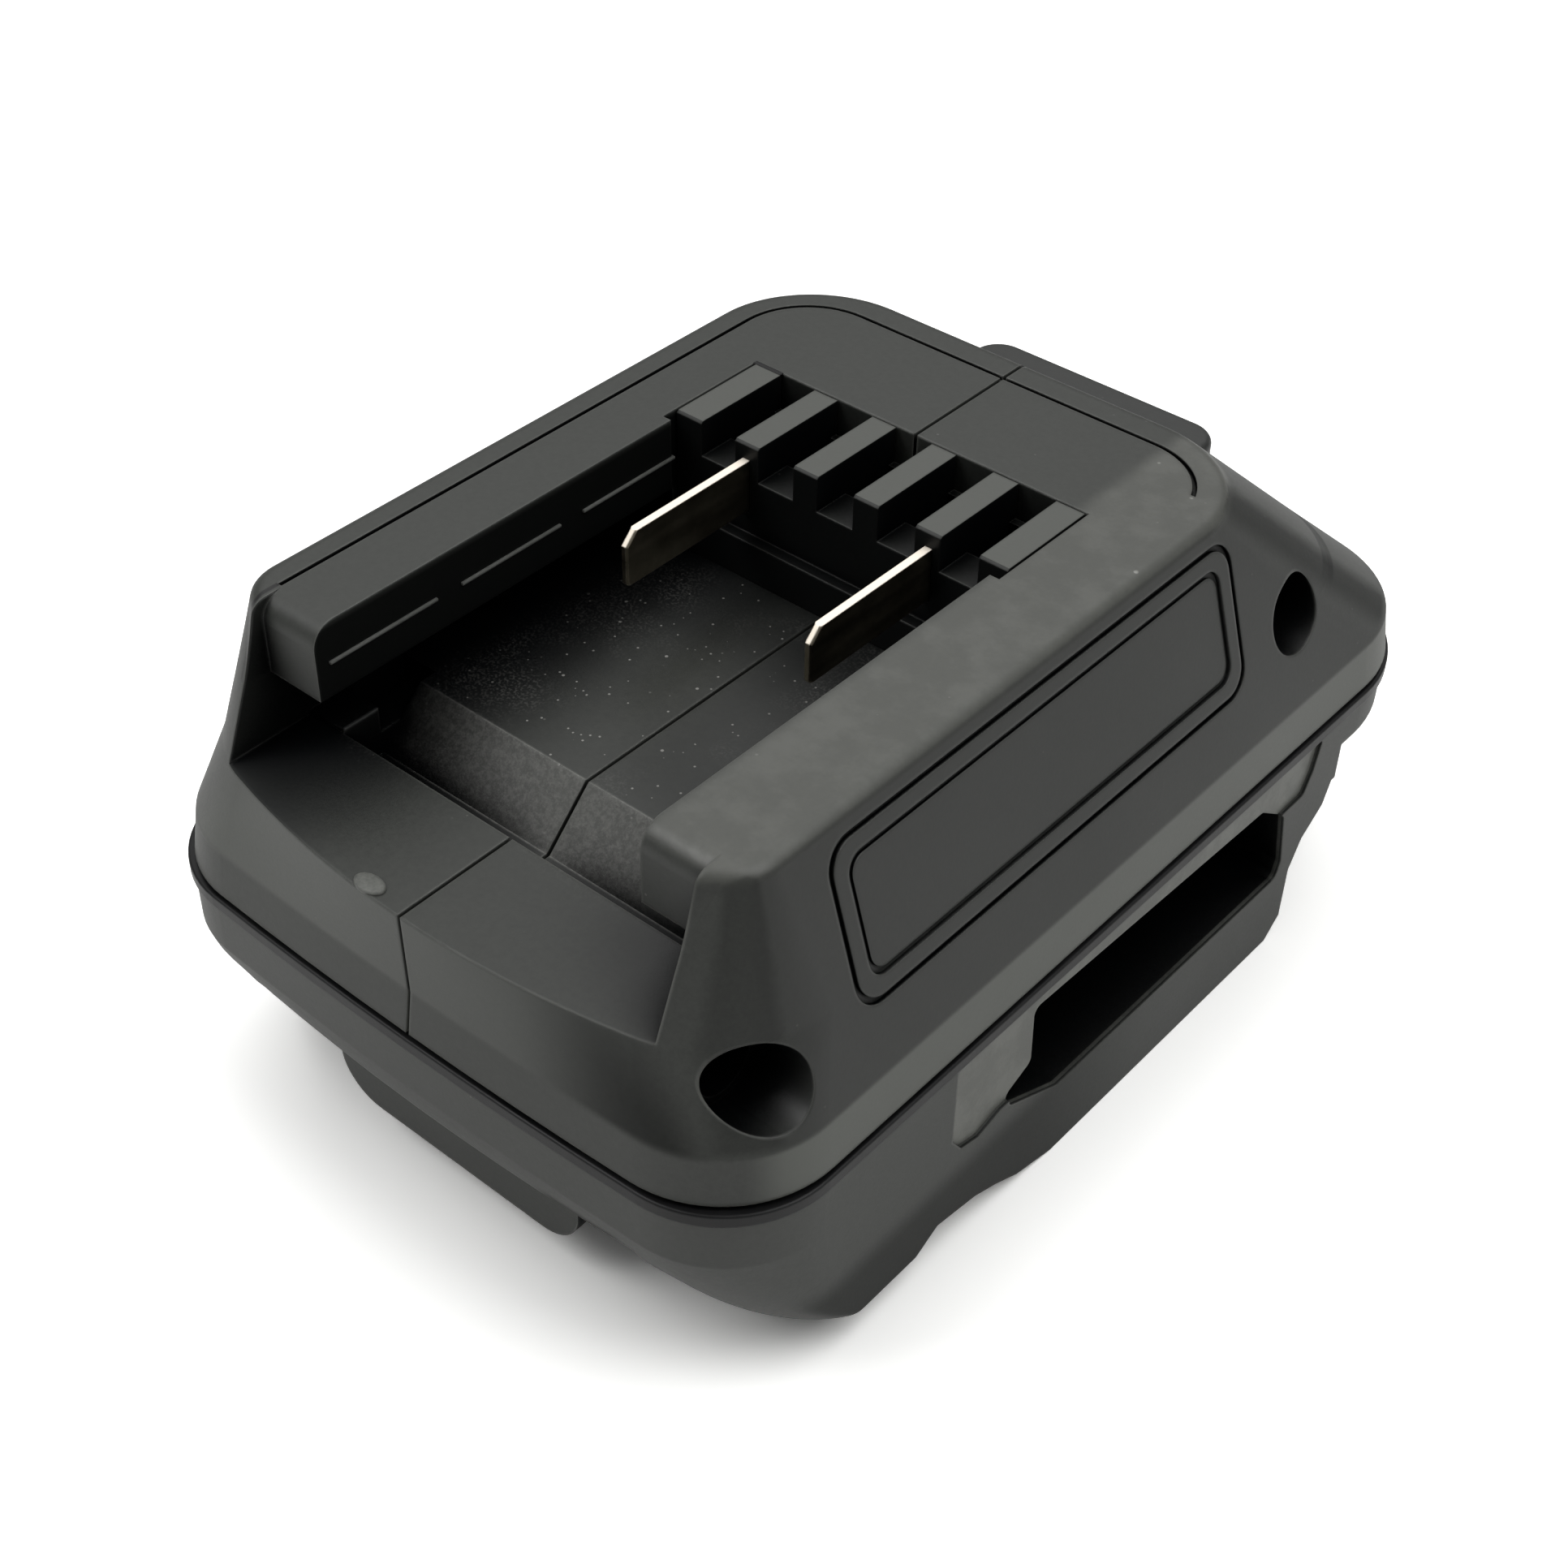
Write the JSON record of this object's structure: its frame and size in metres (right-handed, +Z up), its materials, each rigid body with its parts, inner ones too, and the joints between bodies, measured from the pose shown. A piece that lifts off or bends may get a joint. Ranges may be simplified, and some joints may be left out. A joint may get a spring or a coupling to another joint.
{
  "type": "tool battery adapter",
  "caption": "Plastic adapter that slides a battery pack's foot into its top channel and plugs into a tool below, with upright terminal blades and a sprung release button at the rear.",
  "frame": {"origin": "centre of the bounding box in X and Y, at the underside of the rail blocks", "axes": "+X to the adapter's right seen from the front, +Y from the channel's mouth to the release button, +Z up"},
  "size_m": [0.0808, 0.1228, 0.0599],
  "materials": {
    "housing": "fine grained charcoal, satin",
    "gasket": "smooth, slightly glossy",
    "comb": "fine grained, a little lighter on its edges",
    "contact": "pale plated, brushed",
    "lead_dark": "smooth insulation",
    "lead_red": "smooth insulation",
    "board": "lacquered glass fibre board",
    "can": "bare drawn can",
    "ferrite": "coated ferrite ring",
    "chip": "moulded epoxy",
    "holder": "unfilled grey moulding",
    "button": "fine grained, polished by thumbs",
    "carriage": "smooth moulding",
    "steel": "plated",
    "spring": "drawn wire",
    "screw_black": "blackened"
  },
  "bodies": {
    "housing": {"upper_shell_left": "housing", "upper_shell_right": "housing", "lower_shell": "housing", "parting_gasket": "gasket", "terminal_comb": "comb", "input_blade_left": "contact", "input_blade_right": "contact", "negative_lead": "lead_dark", "positive_lead": "lead_red", "circuit_board": "board", "board_screws": "steel", "filter_capacitors": "can", "filter_choke": "ferrite", "power_transistors": "chip", "controller_chip": "chip", "output_clip_left": "contact", "output_clip_right": "contact", "clip_holder": "holder", "latch_spring_left": "spring", "latch_spring_right": "spring", "side_screws": "screw_black", "base_screws": "screw_black"},
    "latch": {"release_button": "button", "latch_carriage": "carriage", "latch_hook": "steel", "hook_screws": "steel"}
  },
  "joints": [
    {"name": "release_press", "type": "slide", "parent": "housing", "child": "latch", "axis": [0, -1, 0], "range_m": [0, 0.004], "stiffness_N_per_m": 600, "deforming": ["latch_spring_left", "latch_spring_right"]}
  ]
}
